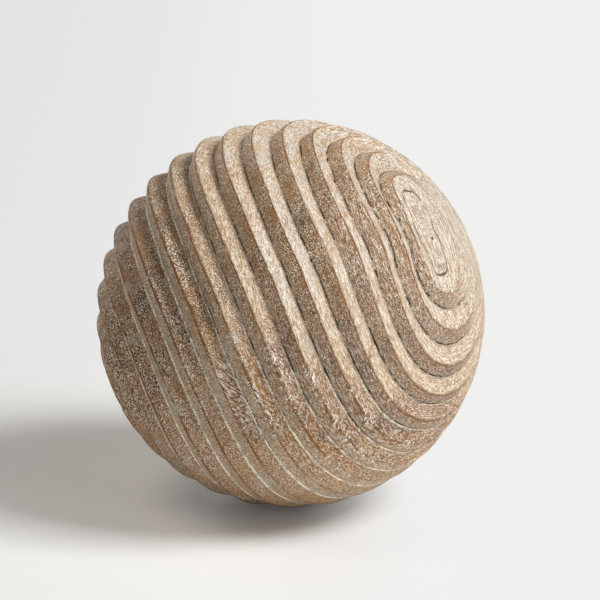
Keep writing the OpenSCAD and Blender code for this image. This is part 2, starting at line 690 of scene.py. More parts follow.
    def dents(self) -> Wire:
        """Press in the small dents, and the nicks along the crests.

        Returns:
            Their depth below the carved surface.
        """
        plan, size, spread = self.rule.plan, self.rule.size, self.ball.spread
        dents = self.seeded(spread.dents, size["dent_span"]) * size["dent_depth"]
        nicked = plan.ease(self.seeded(spread.nicks, size["nick_span"]), *spread.nick_levels)
        from_crest = self.height * self.side_width
        reach = size["nick_span"] * spread.nick_width
        at_crest = plan.math("EXPONENT", -(from_crest * from_crest) / (reach * reach))
        return dents + nicked * at_crest * size["nick_depth"]

    def carve(self, flow: bpy.types.NodeSocket) -> tuple[bpy.types.NodeSocket, Wire]:
        """Mark the grid and carry its points onto the ridges.

        Args:
            flow: The plain grid.

        Returns:
            The grid with the marks that the finish reads, and where its points go.
        """
        rule, plan, size = self.rule, self.rule.plan, self.rule.size
        slit = self.slit()
        marks = {
            Mark.SIDE: rule.sine(self.across * math.pi),
            Mark.RISE: plan.math("COSINE", self.across * math.pi),
            Mark.BREADTH: self.breadth,
            Mark.TREAD: self.tread,
            Mark.RIDGE: self.ring,
            Mark.DEPTH: self.cut / size["groove_depth"],
            Mark.SLIT: slit / size["slit_depth"],
        }
        for mark, value in marks.items():
            store = plan.add("GeometryNodeStoreNamedAttribute", data_type="FLOAT", domain="POINT")
            store.inputs["Name"].default_value = mark.value
            plan.tree.links.new(flow, store.inputs["Geometry"])
            plan.feed(value, next(s for s in store.inputs if s.name == "Value" and s.enabled))
            flow = store.outputs["Geometry"]
        sunk = self.cut * self.fall() + slit + self.dents()
        return flow, self.on_sphere(self.hand_laid(), (self.ball.radius - self.ball.hold_back) - sunk)


@dataclass
class CarvedBall:
    """The ball: one solid piece of wood, carved all over in oval ridges."""

    diameter: float = 254 * MM
    hold_back: float = 0.45 * MM
    least_cap: float = 10 * MM
    rows_across: int = 14
    points_round: int = 330
    crowding: float = 0.6
    seed: float = 3.0
    island: Island = field(default_factory=Island)
    rings: RidgeRings = field(default_factory=RidgeRings)
    section: RidgeSection = field(default_factory=RidgeSection)
    hand: HandWork = field(default_factory=HandWork)
    spread: HandSpread = field(default_factory=HandSpread)
    lie: CarvingLie = field(default_factory=CarvingLie)

    @property
    def radius(self) -> float:
        """Radius over the crests."""
        return self.diameter / 2

    @property
    def ring_count(self) -> int:
        """Number of full grooves between the island and the far cap.

        Returns:
            The number that the pitch leaves room for.
        """
        half_round = math.pi * self.radius
        room = half_round - self.rings.first_groove - self.rings.ring_shift - self.least_cap
        return 1 + math.floor(room / self.rings.ridge_pitch)

    def sizes(self) -> dict[str, float]:
        """Gather every named size of the carving.

        Returns:
            Sizes by name.
        """
        found = {"seed": self.seed}
        for part in (self.island, self.rings, self.section, self.hand):
            found.update({item.name: getattr(part, item.name) for item in fields(part)})
        return found

    def carving_tree(self, finish: bpy.types.Material) -> tuple[bpy.types.NodeTree, dict[str, str]]:
        """Build the nodes that lay the ridges on the ball.

        Args:
            finish: Material for the whole surface.

        Returns:
            The tree, and the identifier of each of its named inputs.
        """
        tree = bpy.data.node_groups.new("Carved ridges", "GeometryNodeTree")
        plan = NodePlan(tree)
        tree.interface.new_socket(name="Geometry", in_out="INPUT", socket_type="NodeSocketGeometry")
        tree.interface.new_socket(name="Geometry", in_out="OUTPUT", socket_type="NodeSocketGeometry")
        sockets = {
            name: tree.interface.new_socket(
                name=name.replace("_", " ").capitalize(), in_out="INPUT", socket_type="NodeSocketFloat"
            ).identifier
            for name in self.sizes()
        }
        given = plan.add("NodeGroupInput")
        size = {
            name: Wire(plan, next(s for s in given.outputs if s.identifier == key))
            for name, key in sockets.items()
        }
        rule = RingRule(plan, size, self.radius, self.ring_count)
        grid = plan.add("GeometryNodeMeshGrid")
        rows = self.rows_across * (self.ring_count + 1) + self.rows_across // 2 + 1
        grid.inputs["Vertices X"].default_value = rows
        grid.inputs["Vertices Y"].default_value = self.points_round + 1
        flow, carved = Carving(self, rule).carve(grid.outputs["Mesh"])
        flow = self.closed_surface(plan, flow, carved, finish)
        tree.links.new(flow, plan.add("NodeGroupOutput").inputs[0])
        return tree, sockets

    def closed_surface(
        self, plan: NodePlan, flow: bpy.types.NodeSocket, carved: Wire, finish: bpy.types.Material
    ) -> bpy.types.NodeSocket:
        """Move the grid onto the ball, close it and dress it.

        Args:
            plan: Tree that takes the nodes.
            flow: The marked grid.
            carved: Where each of its points goes.
            finish: Material for the surface.

        Returns:
            The finished surface.
        """
        move = plan.add("GeometryNodeSetPosition")
        plan.feed(carved, move.inputs["Position"])
        merge = plan.add("GeometryNodeMergeByDistance")
        merge.inputs["Distance"].default_value = 0.01 * MM
        smooth = plan.add("GeometryNodeSetShadeSmooth")
        turn = plan.add("GeometryNodeTransform")
        turn.inputs["Rotation"].default_value = self.lie.turn()
        turn.inputs["Translation"].default_value = (0, 0, self.radius)
        real = plan.add("GeometryNodeRealizeInstances")
        dress = plan.add("GeometryNodeSetMaterial")
        dress.inputs["Material"].default_value = finish
        for node in (move, merge, smooth, turn, real, dress):
            plan.tree.links.new(flow, node.inputs[0])
            flow = node.outputs[0]
        return flow

    def build(self, finish: bpy.types.Material) -> bpy.types.Object:
        """Carve the ball.

        Args:
            finish: Material for the whole surface.

        Returns:
            The piece, riding on the body and standing for the solid.
        """
        tree, sockets = self.carving_tree(finish)
        blank = bpy.data.objects.new("carving_blank", bpy.data.meshes.new("carving_blank"))
        modifier = blank.modifiers.new("Carved ridges", "NODES")
        modifier.node_group = tree
        for name, value in self.sizes().items():
            modifier[sockets[name]] = value
        bpy.context.scene.collection.objects.link(blank)
        graph = bpy.context.evaluated_depsgraph_get()
        mesh = bpy.data.meshes.new_from_object(
            blank.evaluated_get(graph), preserve_all_data_layers=True, depsgraph=graph
        )
        mesh.name = "carved_ball"
        piece = bpy.data.objects.new("carved_ball", mesh)
        bpy.context.scene.collection.objects.link(piece)
        bpy.data.objects.remove(blank)
        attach(piece, "root")
        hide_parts("ball")
        log.info("%s: %d points, %d faces", piece.name, len(mesh.vertices), len(mesh.polygons))
        return piece


@dataclass(frozen=True)
class LimedWood:
    """Old turned wood with lime and wax rubbed into its grain.

    A pattern's scale is its waves in a metre. A span gives where a zone starts
    and where it is full, and a strip gives where it starts, is full, is full no
    more, and ends. Places across a groove are above 0 on its tread and below 0
    on its wall. A span or strip in rings counts past the last washed ring.
    """

    wood: Colour = (162, 120, 73)
    dark_wood: Colour = (104, 73, 41)
    tan_wood: Colour = (193, 153, 103)
    warm_wood: Colour = (176, 123, 66)
    mauve: Colour = (150, 122, 104)
    haze: Colour = (190, 158, 122)
    pore: Colour = (62, 38, 19)
    fibre: Colour = (140, 98, 60)
    lime: Colour = (243, 234, 219)
    groove_lime: Colour = (252, 242, 222)
    wax: Colour = (178, 166, 146)
    old_wax: Colour = (196, 184, 166)
    cream: Colour = (200, 192, 181)
    peach: Colour = (184, 156, 120)
    honey: Colour = (200, 176, 144)
    speck: Colour = (140, 104, 68)
    worn_edge: Colour = (134, 92, 52)
    # Brown of the scored lines, also laid as painted shade on the low walls.
    score: Colour = (112, 76, 44)
    # Painted shade in the groove corners and along the grooves round the island.
    corner: Colour = (72, 53, 37)
    pit: Colour = (36, 28, 20)
    patches: Pattern = Pattern(45.0, 3.0, 0.55)
    broad_patches: Pattern = Pattern(22.0, 2.0, 0.5)
    warm_patches: Pattern = Pattern(60.0)
    hazy_patches: Pattern = Pattern(38.0)
    lime_clumps: Pattern = Pattern(85.0)
    wash_drift: Pattern = Pattern(28.0, 2.0, 0.5)
    stipple: Pattern = Pattern(1350.0, 1.0, 0.5)
    streaks: Pattern = Pattern(1900.0, 1.0, 0.5)
    drawn_grain: Pattern = Pattern(1300.0, 1.0)
    fine_fibres: Pattern = Pattern(950.0, 2.0)
    flecks: Pattern = Pattern(1250.0, 1.0)
    grit: Pattern = Pattern(1500.0, 1.0)
    wash_wear: Pattern = Pattern(190.0, 3.0, 0.65)
    wash_gaps: Pattern = Pattern(110.0)
    dashes: Pattern = Pattern(1200.0, 1.0)
    combing: Pattern = Pattern(900.0, 2.0)
    edge_gaps: Pattern = Pattern(180.0, 2.0, 0.5)
    seam_gaps: Pattern = Pattern(130.0)
    shade_gaps: Pattern = Pattern(90.0)
    wax_smears: Pattern = Pattern(48.0)
    chips: Pattern = Pattern(900.0, 1.0, 0.5)
    chip_clusters: Pattern = Pattern(70.0, 2.0, 0.5)
    scores: Pattern = Pattern(1400.0, 0.0, 0.4)
    score_gaps: Pattern = Pattern(40.0, 2.0, 0.5)
    corner_shade_gaps: Pattern = Pattern(100.0)
    crack_runs: Pattern = Pattern(140.0)
    foot_strip: Strip = (-5.5 * MM, -1.8 * MM, -0.5 * MM, 1.0 * MM)
    seam_strip: Strip = (-1.2 * MM, -0.7 * MM, 0.1 * MM, 0.6 * MM)
    shade_strip: Strip = (-2.8 * MM, -1.8 * MM, -1.3 * MM, -1.0 * MM)
    corner_shade_strip: Strip = (-2.3 * MM, -1.6 * MM, -1.0 * MM, -0.8 * MM)
    crack_strip: Strip = (-1.8 * MM, -1.4 * MM, -1.0 * MM, -0.6 * MM)
    open_seam: float = 0.9 * MM
    tread_edge: Span = (-0.3 * MM, 0.5 * MM)
    wall_edge: Span = (-3.4 * MM, -1.6 * MM)
    low_drop: float = 6.0 * MM
    fringe_rings: Strip = (-1.5, 0.0, 2.5, 4.5)
    wash_rings: Span = (0.0, -0.7)
    ochre_rings: Span = (-2.8, -0.8)
    drift_rings: float = 1.6
    flat_depth: Span = (0.55, 0.2)
    streaky_near: Span = (0.66, 0.9)
    open_near: Span = (0.35, -0.15)
    low_near: Span = (-0.2, 0.3)
    low_from: Span = (-0.1, 0.5)
    narrow_end: Span = (0.05, 0.85)
    grain_stretch: float = 7.0
    fibre_stretch: float = 18.0
    score_stretch: float = 0.07
    pinhole: Point = (0.0897, -0.0614, 0.1927)
    scored_centre: Point = (-0.0213, -0.1243, 0.112)
    scored_line: Point = (0.781, -0.109, -0.614)
    scored_reach: float = 0.042
    pale_rings: float = 8.4
    low_rings: float = 4.2
    ring_step: float = 0.031
    roughness: float = 0.62
    bend_of_light: float = 1.45
    shine: float = 0.3
    grain_height: float = 0.5 * MM

    def build(self, ball: CarvedBall) -> bpy.types.Material:
        """Mix the finish.

        Args:
            ball: The ball that it goes on, for the lie of its grain.

        Returns:
            The material.
        """
        material = bpy.data.materials.new("limed_wood")
        material.use_nodes = True
        plan = NodePlan(material.node_tree)
        plan.tree.nodes.clear()
        shader = plan.add("ShaderNodeBsdfPrincipled")
        out = plan.add("ShaderNodeOutputMaterial")
        plan.tree.links.new(shader.outputs[0], out.inputs[0])
        shader.inputs["IOR"].default_value = self.bend_of_light
        shader.inputs["Specular IOR Level"].default_value = self.shine
        shader.inputs["Roughness"].default_value = self.roughness

        coat = Coat(plan, self, ball)
        coat.lay_all()
        plan.feed(coat.colour, shader.inputs["Base Color"])
        bump = plan.add("ShaderNodeBump")
        bump.inputs["Distance"].default_value = self.grain_height
        bump.inputs["Strength"].default_value = 1.0
        plan.feed(coat.height(), bump.inputs["Height"])
        plan.tree.links.new(bump.outputs[0], shader.inputs["Normal"])
        return material


@dataclass
class Coat:
    """The limed finish while it goes on, one layer of colour over another.

    Attributes:
        plan: Tree that takes the nodes.
        look: Colours, patterns and places of the finish.
        ball: The ball that it goes on.
        spot: Place in the wood, on the carving's own axes.
        near: 1 at the island's middle, 0 at the waist and -1 at the far point.
        end: 1 at the +X end of the carving and -1 at its other end.
        along: Way round the carving's axis.
        across: Way from the nearest groove, above 0 on a tread and below 0 on a wall.
        from_crest: Way from the nearest crest.
        ring: Number of the ridge.
        pale: 1 where the treads are washed pale.
        ochre: 1 on the last of the washed treads, where the wash turns ochre.
        flat: 1 where the ridges are shallow.
        streaky: 1 round the island, where the grain shows in long streaks.
        open_grain: 1 on the half away from the island, where the pores are open.
        low_end: 1 toward the end of the carving where the ridges are low.
        fringe: 1 at the low end, on the ridges where the wash ends.
        on_tread: 1 on a tread and 0 on a wall.
        wall: 1 on a wall and 0 on a tread.
        foot: 1 along the foot of each wall.
        side_wall: 1 on walls above their feet, past the wash.
        low_wall: 1 on the walls at the low end.
        shallow: 1 on shallow ridges, away from the streaks.
        stained: 1 on treads that weren't washed.
        clumps: Noise that gathers the lime into clumps.
        texture: The fine grain, about 0.5: lower in the pores and higher between them.
        crack: 1 in a crack and 0 beside it.
        colour: The colour so far.
    """

    plan: NodePlan
    look: LimedWood
    ball: CarvedBall
    spot: Wire = field(init=False)
    near: Wire = field(init=False)
    end: Wire = field(init=False)
    along: Wire = field(init=False)
    across: Wire = field(init=False)
    from_crest: Wire = field(init=False)
    ring: Wire = field(init=False)
    pale: Wire = field(init=False)
    ochre: Wire = field(init=False)
    flat: Wire = field(init=False)
    streaky: Wire = field(init=False)
    open_grain: Wire = field(init=False)
    low_end: Wire = field(init=False)
    fringe: Wire = field(init=False)
    on_tread: Wire = field(init=False)
    wall: Wire = field(init=False)
    foot: Wire = field(init=False)
    side_wall: Wire = field(init=False)
    low_wall: Wire = field(init=False)
    shallow: Wire = field(init=False)
    stained: Wire = field(init=False)
    clumps: Wire = field(init=False)
    texture: Wire = field(init=False)
    crack: Wire = field(init=False)
    colour: object = field(init=False)

    def __post_init__(self) -> None:
        """Work out what the layers share, and start from dark wood."""
        self.find_place()
        self.find_zones()
        self.texture = self.fine_grain()
        self.crack = self.open_cracks()
        self.colour = linear(self.look.dark_wood)

    def find_place(self) -> None:
        """Work out where a point lies on the ball and on its ridge."""
        plan, radius = self.plan, self.ball.radius
        self.spot = self.place(1.0)
        self.end, side_way, self.near = (part / radius for part in plan.split(self.spot))
        around = plan.math("SQRT", self.end * self.end + side_way * side_way)
        self.along = plan.math("ARCTAN2", side_way, self.end) * around * radius
        phase = plan.math("ARCTAN2", self.mark(Mark.SIDE), self.mark(Mark.RISE)) / math.pi
        height = plan.math("ABSOLUTE", phase)
        on_tread = plan.math("GREATER_THAN", phase, 0.0)
        tread = self.mark(Mark.TREAD)
        side_width = self.mark(Mark.BREADTH) * plan.blend(on_tread, 1.0 - tread, tread)
        self.across = height * side_width * (on_tread * 2.0 - 1.0)
        self.from_crest = (1.0 - height) * side_width
        self.ring = plan.math("ROUND", self.mark(Mark.RIDGE))

    def find_zones(self) -> None:
        """Work out where each treatment of the wood shows."""
        plan, look = self.plan, self.look
        drift = (look.wash_drift.over(plan, self.spot) - 0.5) * look.drift_rings
        limit = plan.ease(self.end, *look.narrow_end, look.pale_rings, look.pale_rings - look.low_rings)
        past = self.ring - limit
        self.pale = plan.ease(past - drift, *look.wash_rings)
        self.ochre = plan.ease(past, *look.ochre_rings)
        self.flat = plan.ease(self.mark(Mark.DEPTH), *look.flat_depth)
        self.streaky = plan.ease(self.near, *look.streaky_near)
        self.open_grain = plan.ease(self.near, *look.open_near)
        self.low_end = plan.ease(self.end, *look.low_from)
        self.fringe = plan.strip(past, *look.fringe_rings) * self.low_end
        self.on_tread = plan.ease(self.across, *look.tread_edge)
        self.wall = 1.0 - self.on_tread
        self.foot = plan.strip(self.across, *look.foot_strip)
        drop = self.low_end * look.low_drop
        top, full = look.wall_edge
        side_wall = plan.ease(self.across, top - drop, full - drop)
        self.side_wall = side_wall * self.wall * (1.0 - self.pale)
        low_wall = (1.0 - self.on_tread * self.pale) * self.low_end * (1.0 - self.flat)
        self.low_wall = low_wall * plan.ease(self.near, *look.low_near)
        self.shallow = self.flat * (1.0 - self.streaky)
        self.stained = self.on_tread * (1.0 - self.pale) * (1.0 - self.shallow * 0.6)
        self.clumps = look.lime_clumps.over(plan, self.spot)

    def mark(self, name: Mark) -> Wire:
        """Read a mark that the carving left."""
        node = self.plan.add("ShaderNodeAttribute", attribute_type="GEOMETRY", attribute_name=name.value)
        return Wire(self.plan, node.outputs["Fac"])

    def near_point(self, point: Point, turn: Euler, stretch: float = 1.0) -> Wire:
        """Give the place in the wood from one point of it.

        Args:
            point: The point that the place is measured from.
            turn: How the axes of the place are turned.
            stretch: How many times longer a pattern is along the first axis.

        Returns:
            The place, in metres across that axis.
        """
        coordinates = self.plan.add("ShaderNodeTexCoord")
        mapping = self.plan.add("ShaderNodeMapping", vector_type="TEXTURE")
        self.plan.tree.links.new(coordinates.outputs["Object"], mapping.inputs["Vector"])
        mapping.inputs["Location"].default_value = point
        mapping.inputs["Rotation"].default_value = turn
        mapping.inputs["Scale"].default_value = (stretch, 1, 1)
        return Wire(self.plan, mapping.outputs[0])

    def place(self, stretch: float) -> Wire:
        """Give the place on the carving's own axes, stretched along the grain."""
        return self.near_point((0, 0, self.ball.radius), self.ball.lie.turn(), stretch)

    def drawn_out(self, along: float = 1.0, across: float = 1.0) -> Wire:
        """Give the place on one ridge, with lengths along and across it cut to a share."""
        band = self.ring * self.look.ring_step
        return self.plan.vector(self.along * along, self.across * across, band)

    def lay(self, share: Feed, colour: Colour) -> None:
        """Lay one more colour over the others."""
        self.colour = self.plan.paint(share, self.colour, linear(colour))

    def patchy(self, pattern: Pattern, *levels: float) -> Wire:
        """Give the share that a pattern brings in between two of its levels, from 0 to 1 or as given."""
        return self.plan.ease(pattern.over(self.plan, self.spot), *levels)

    def lay_all(self) -> None:
        """Lay every layer in its order."""
        self.mix_bare_wood()
        self.colour_walls()
        self.fill_grain()
        washed = self.wash_treads()
        self.draw_lines()
        self.mark_wear_and_outline_shade()
        self.score_patch()
        self.darken_grooves()
        grit = self.look.grit.over(self.plan, self.spot) - 0.5
        level = 1.0 + grit * self.plan.blend(washed, 3.4, 1.8)
        self.colour = self.plan.paint(1.0, self.colour, self.plan.vector(level, level, level), "MULTIPLY")

    def height(self) -> Wire:
        """Give the height of the fine grain, its flecks and its cracks."""
        flecks = self.look.flecks.over(self.plan, self.spot)
        return self.texture + flecks * 0.3 - self.crack * 1.5

    def fine_grain(self) -> Wire:
        """Lay out the grain: dotted, streaky round the island, and drawn out at the low end.

        Returns:
            The grain, about 0.5.
        """
        plan, look = self.plan, self.look
        stipple = 0.5 + (look.stipple.over(plan, self.spot) - 0.5) * (1.0 + self.open_grain * 0.35)
        streaks = look.streaks.over(plan, self.place(look.grain_stretch))
        drawn = look.drawn_grain.over(plan, self.drawn_out(0.3))
        drawn_share = plan.ease(self.end, 0.0, 0.6) * plan.ease(self.near, -0.1, 0.3) * (1.0 - self.streaky)
        return plan.blend(drawn_share * 0.8, plan.blend(self.streaky, stipple, streaks), drawn)

    def open_cracks(self) -> Wire:
        """Mark the cracks and slits that run in the groove corners.

        Returns:
            1 in a crack and 0 beside it.
        """
        plan, look = self.plan, self.look
        crack = plan.ease(look.crack_runs.over(plan, self.spot) + self.fringe * 0.06, 0.57, 0.62)
        crack = crack * plan.strip(self.across, *look.crack_strip)
        return plan.math("MAXIMUM", crack, plan.ease(self.mark(Mark.SLIT), 0.5, 0.75)) * (1.0 - self.flat)

    def mix_bare_wood(self) -> None:
        """Mix the bare wood: brown and darker in patches, tan and limed round the island."""
        plan, look = self.plan, self.look
        patches = look.patches.over(plan, self.spot) - self.open_grain * 0.01
        self.lay(plan.ease(patches, 0.38, 0.54), look.wood)
        tan = self.patchy(look.broad_patches, 0.4, 0.62) * 0.6 * (1.0 - self.stained * 0.5)
        streaked = self.streaky * plan.blend(self.on_tread, 0.35, 1.0)
        self.lay(plan.math("MAXIMUM", tan, streaked), look.tan_wood)
        limed = plan.blend(plan.math("MAXIMUM", self.on_tread, self.flat), 0.25, 0.55)
        self.lay(plan.ease(self.near, 0.74, 0.9) * limed, look.cream)

    def colour_walls(self) -> None:
        """Lighten, warm and wax the walls by their place on the ball."""
        plan, look = self.plan, self.look
        pale_wall = self.wall * self.pale * 0.35
        light = self.side_wall * (0.6 - self.low_end * 0.25)
        light = light + pale_wall * plan.ease(self.near, 0.75, 0.45, 0.2, 1.0)
        light = light + self.wall * plan.ease(self.near, 0.6, 0.35) * (1.0 - self.side_wall) * 0.55
        light = light + pale_wall * plan.ease(self.end, -0.1, -0.5)
        self.lay(light + self.shallow * 0.7, look.tan_wood)
        warm = self.patchy(look.warm_patches, 0.46, 0.6) * (1.0 - self.streaky * 0.6)
        warm_half = self.open_grain * plan.blend(self.low_end, 0.2, 0.6)
        self.lay(plan.math("MAXIMUM", warm * 0.75, warm_half), look.warm_wood)
        self.lay(self.low_wall * plan.ease(self.near, 0.2, 0.55) * 0.6, look.mauve)
        self.lay(self.foot * plan.blend(self.open_grain, 0.45, 0.8), look.wax)
        self.lay(self.wall * plan.ease(self.near, 0.6, 0.1) * 0.2, look.old_wax)

    def fill_grain(self) -> None:
        """Darken the pores and fill the grain with lime, more of it in clumps."""
        plan, look = self.plan, self.look
        density = plan.ease(self.clumps, 0.36, 0.58, 0.35, 1.0)
        density = density * (1.0 - self.side_wall * 0.15) * (1.0 - self.foot * 0.3)
        density = plan.math("MINIMUM", density + self.stained * 0.1, 1.0)
        density = plan.blend(self.low_end * 0.8, density, 0.78)
        haze = self.patchy(look.hazy_patches, 0.5, 0.6) * self.open_grain
        density = density * (1.0 - haze * 0.5) * (1.0 - self.low_wall * 0.35) * (1.0 - self.streaky * 0.2)
        self.lay(haze * 0.35, look.haze)
        pores = plan.blend(self.open_grain, 0.65, 0.9) * (1.0 - self.low_end * 0.35)
        self.lay(plan.ease(self.texture, 0.488, 0.424) * density * pores, look.pore)
        filled = plan.blend(self.open_grain, 0.97, 0.88)
        self.lay(plan.ease(self.texture, 0.512, 0.567) * density * filled, look.lime)

    def wash_treads(self) -> Wire:
        """Wash the treads near the island pale, with worn, ochre and combed places.

        Returns:
            How much of the wash shows, from 0 to 1.
        """
        plan, look = self.plan, self.look
        worn = look.wash_wear.over(plan, self.drawn_out(0.4)) + plan.ease(self.end, -0.2, -0.7) * 0.07
        dashes = look.dashes.over(plan, self.drawn_out(0.22))
        combed = look.combing.over(plan, self.drawn_out(0.16))
        wash = linear(look.cream)
        for share, colour in (
            (plan.ease(worn, 0.5, 0.62) * 0.9, look.peach),
            (self.ochre * 0.85, look.peach),
            (self.low_end * 0.5, look.honey),
            (plan.ease(dashes, 0.53, 0.62) * 0.6, look.speck),
            (plan.ease(combed, 0.56, 0.63) * 0.4, look.speck),
            (plan.ease(dashes, 0.47, 0.4) * 0.6, look.lime),
            (plan.ease(self.texture, 0.54, 0.6) * 0.3, look.lime),
        ):
            wash = plan.paint(share, wash, linear(colour))
        washed = plan.ease(self.across, -1.0 * MM, -0.7 * MM)
        washed = washed * plan.ease(self.across, -1.0 * MM, 7.0 * MM, 0.66, 1.0) * self.pale
        washed = washed * self.patchy(look.wash_gaps, 0.28, 0.42) * 0.97
        washed = plan.math("MAXIMUM", washed, self.flat * self.streaky * 0.75)
        self.colour = plan.paint(washed, self.colour, wash)
        return washed

    def draw_lines(self) -> None:
        """Draw the brown edge of each crest, the lime of each groove, painted shade on the walls at the low
        end, and the island's fibres.
        """
        plan, look = self.plan, self.look
        edge = plan.ease(self.from_crest, 1.1 * MM, 0.7 * MM) * (1.0 - self.flat * 0.6)
        edge = edge * self.patchy(look.edge_gaps, 0.3, 0.5, 0.4, 1.0)
        edge = edge * (1.0 - self.on_tread * self.pale * plan.blend(self.low_end, 0.8, 0.4))
        self.lay(edge, look.worn_edge)
        start, full, full_end, end = look.seam_strip
        wider = self.open_grain * look.open_seam
        seam = plan.strip(self.across, start - wider, full - wider, full_end, end)
        seam = seam * self.patchy(look.seam_gaps, 0.42, 0.54, 0.2, 1.0) * (1.0 - self.flat * 0.3)
        seam = plan.math("MINIMUM", seam * (1.0 + self.open_grain * 0.9), 1.0)
        self.lay(seam * (1.0 - self.pale), look.groove_lime)
        # Painted shade: a dark brown line down the walls toward the low end.
        shade = plan.strip(self.across, *look.shade_strip) * self.patchy(look.shade_gaps, 0.4, 0.58, 0.3, 1.0)
        shade = shade * (1.0 - self.pale) * self.low_end * (1.0 - self.open_grain)
        self.lay(shade * 0.5, look.score)
        fibres = look.fine_fibres.over(plan, self.place(look.fibre_stretch))
        self.lay(plan.ease(fibres, 0.54, 0.6) * self.streaky * 0.6, look.fibre)
        self.lay(plan.ease(fibres, 0.45, 0.38) * self.streaky * 0.4, look.lime)

    def mark_wear_and_outline_shade(self) -> None:
        """Add the smears of old wax, painted shade along the grooves round the island, and the chips along
        the crests.
        """
        plan, look = self.plan, self.look
        smears = self.patchy(look.wax_smears, 0.6, 0.66) * plan.ease(self.clumps, 0.42, 0.52)
        self.lay(smears * (1.0 - self.streaky) * 0.6, look.old_wax)
        # Painted shade: a dark line along the grooves round the island.
        outline = plan.ease(plan.math("ABSOLUTE", self.across), 1.0 * MM, 0.4 * MM)
        outline = outline * plan.ease(self.ring, 0.6, 0.4)
        outline = outline * self.patchy(look.chip_clusters, 0.36, 0.5, 0.45, 1.0)
        self.lay(outline * 0.85, look.corner)
        chips = look.chips.over(plan, self.drawn_out(across=0.22))
        chipped = plan.ease(chips, 0.555, 0.585) * self.fringe
        chipped = chipped * plan.ease(self.from_crest, 4.0 * MM, 1.5 * MM)
        self.lay(chipped * self.patchy(look.chip_clusters, 0.46, 0.56) * 0.9, look.lime)

    def score_patch(self) -> None:
        """Score one patch of the ball slantwise across its ridges."""
        plan, look = self.plan, self.look
        turn = Vector(look.scored_line).to_track_quat("X", "Z").to_euler()
        place = self.near_point(look.scored_centre, turn)
        x, y, z = plan.split(place)
        patch = plan.math("SQRT", x * x + y * y + z * z)
        patch = plan.ease(patch, look.scored_reach, look.scored_reach * 0.5)
        patch = patch * plan.ease(look.score_gaps.over(plan, place), 0.36, 0.5)
        patch = patch * plan.blend(self.on_tread, 0.3, 1.0)
        scores = look.scores.over(plan, plan.vector(x * look.score_stretch, y, z))
        self.lay(plan.ease(scores, 0.5, 0.44) * patch * 0.55, look.score)
        self.lay(plan.ease(scores, 0.52, 0.58) * patch * (0.65 - self.pale * 0.4), look.lime)

    def darken_grooves(self) -> None:
        """Paint shade into the groove corners, and darken the cracks in them and the island's pinhole."""
        plan, look = self.plan, self.look
        # Painted shade: a dark line along each groove's corner on the washed ridges.
        corner = plan.strip(self.across, *look.corner_shade_strip) * self.patchy(look.corner_shade_gaps, 0.42, 0.56)
        self.lay(corner * self.pale * (1.0 - self.flat) * 0.9, look.corner)
        self.lay(self.crack * 0.92, look.pit)
        outward = Vector(look.pinhole) - Vector((0, 0, self.ball.radius))
        turn = outward.to_track_quat("Z", "Y").to_euler()
        x, y, _ = plan.split(self.near_point(look.pinhole, turn))
        hole = plan.ease(plan.math("SQRT", x * x + y * y), 1.4 * MM, 0.8 * MM)
        self.lay(hole * plan.ease(self.near, 0.5, 0.6) * 0.9, look.pit)


@dataclass(frozen=True)
class Lamp:
    """A soft square lamp hung about the ball.

    Its turn goes from the front toward +X, its height is an angle above level,
    and its power is in watts.
    """

    name: str
    turn: float
    height: float
    power: float
    size: float = 1.0
    colour: Colour = (255, 255, 255)


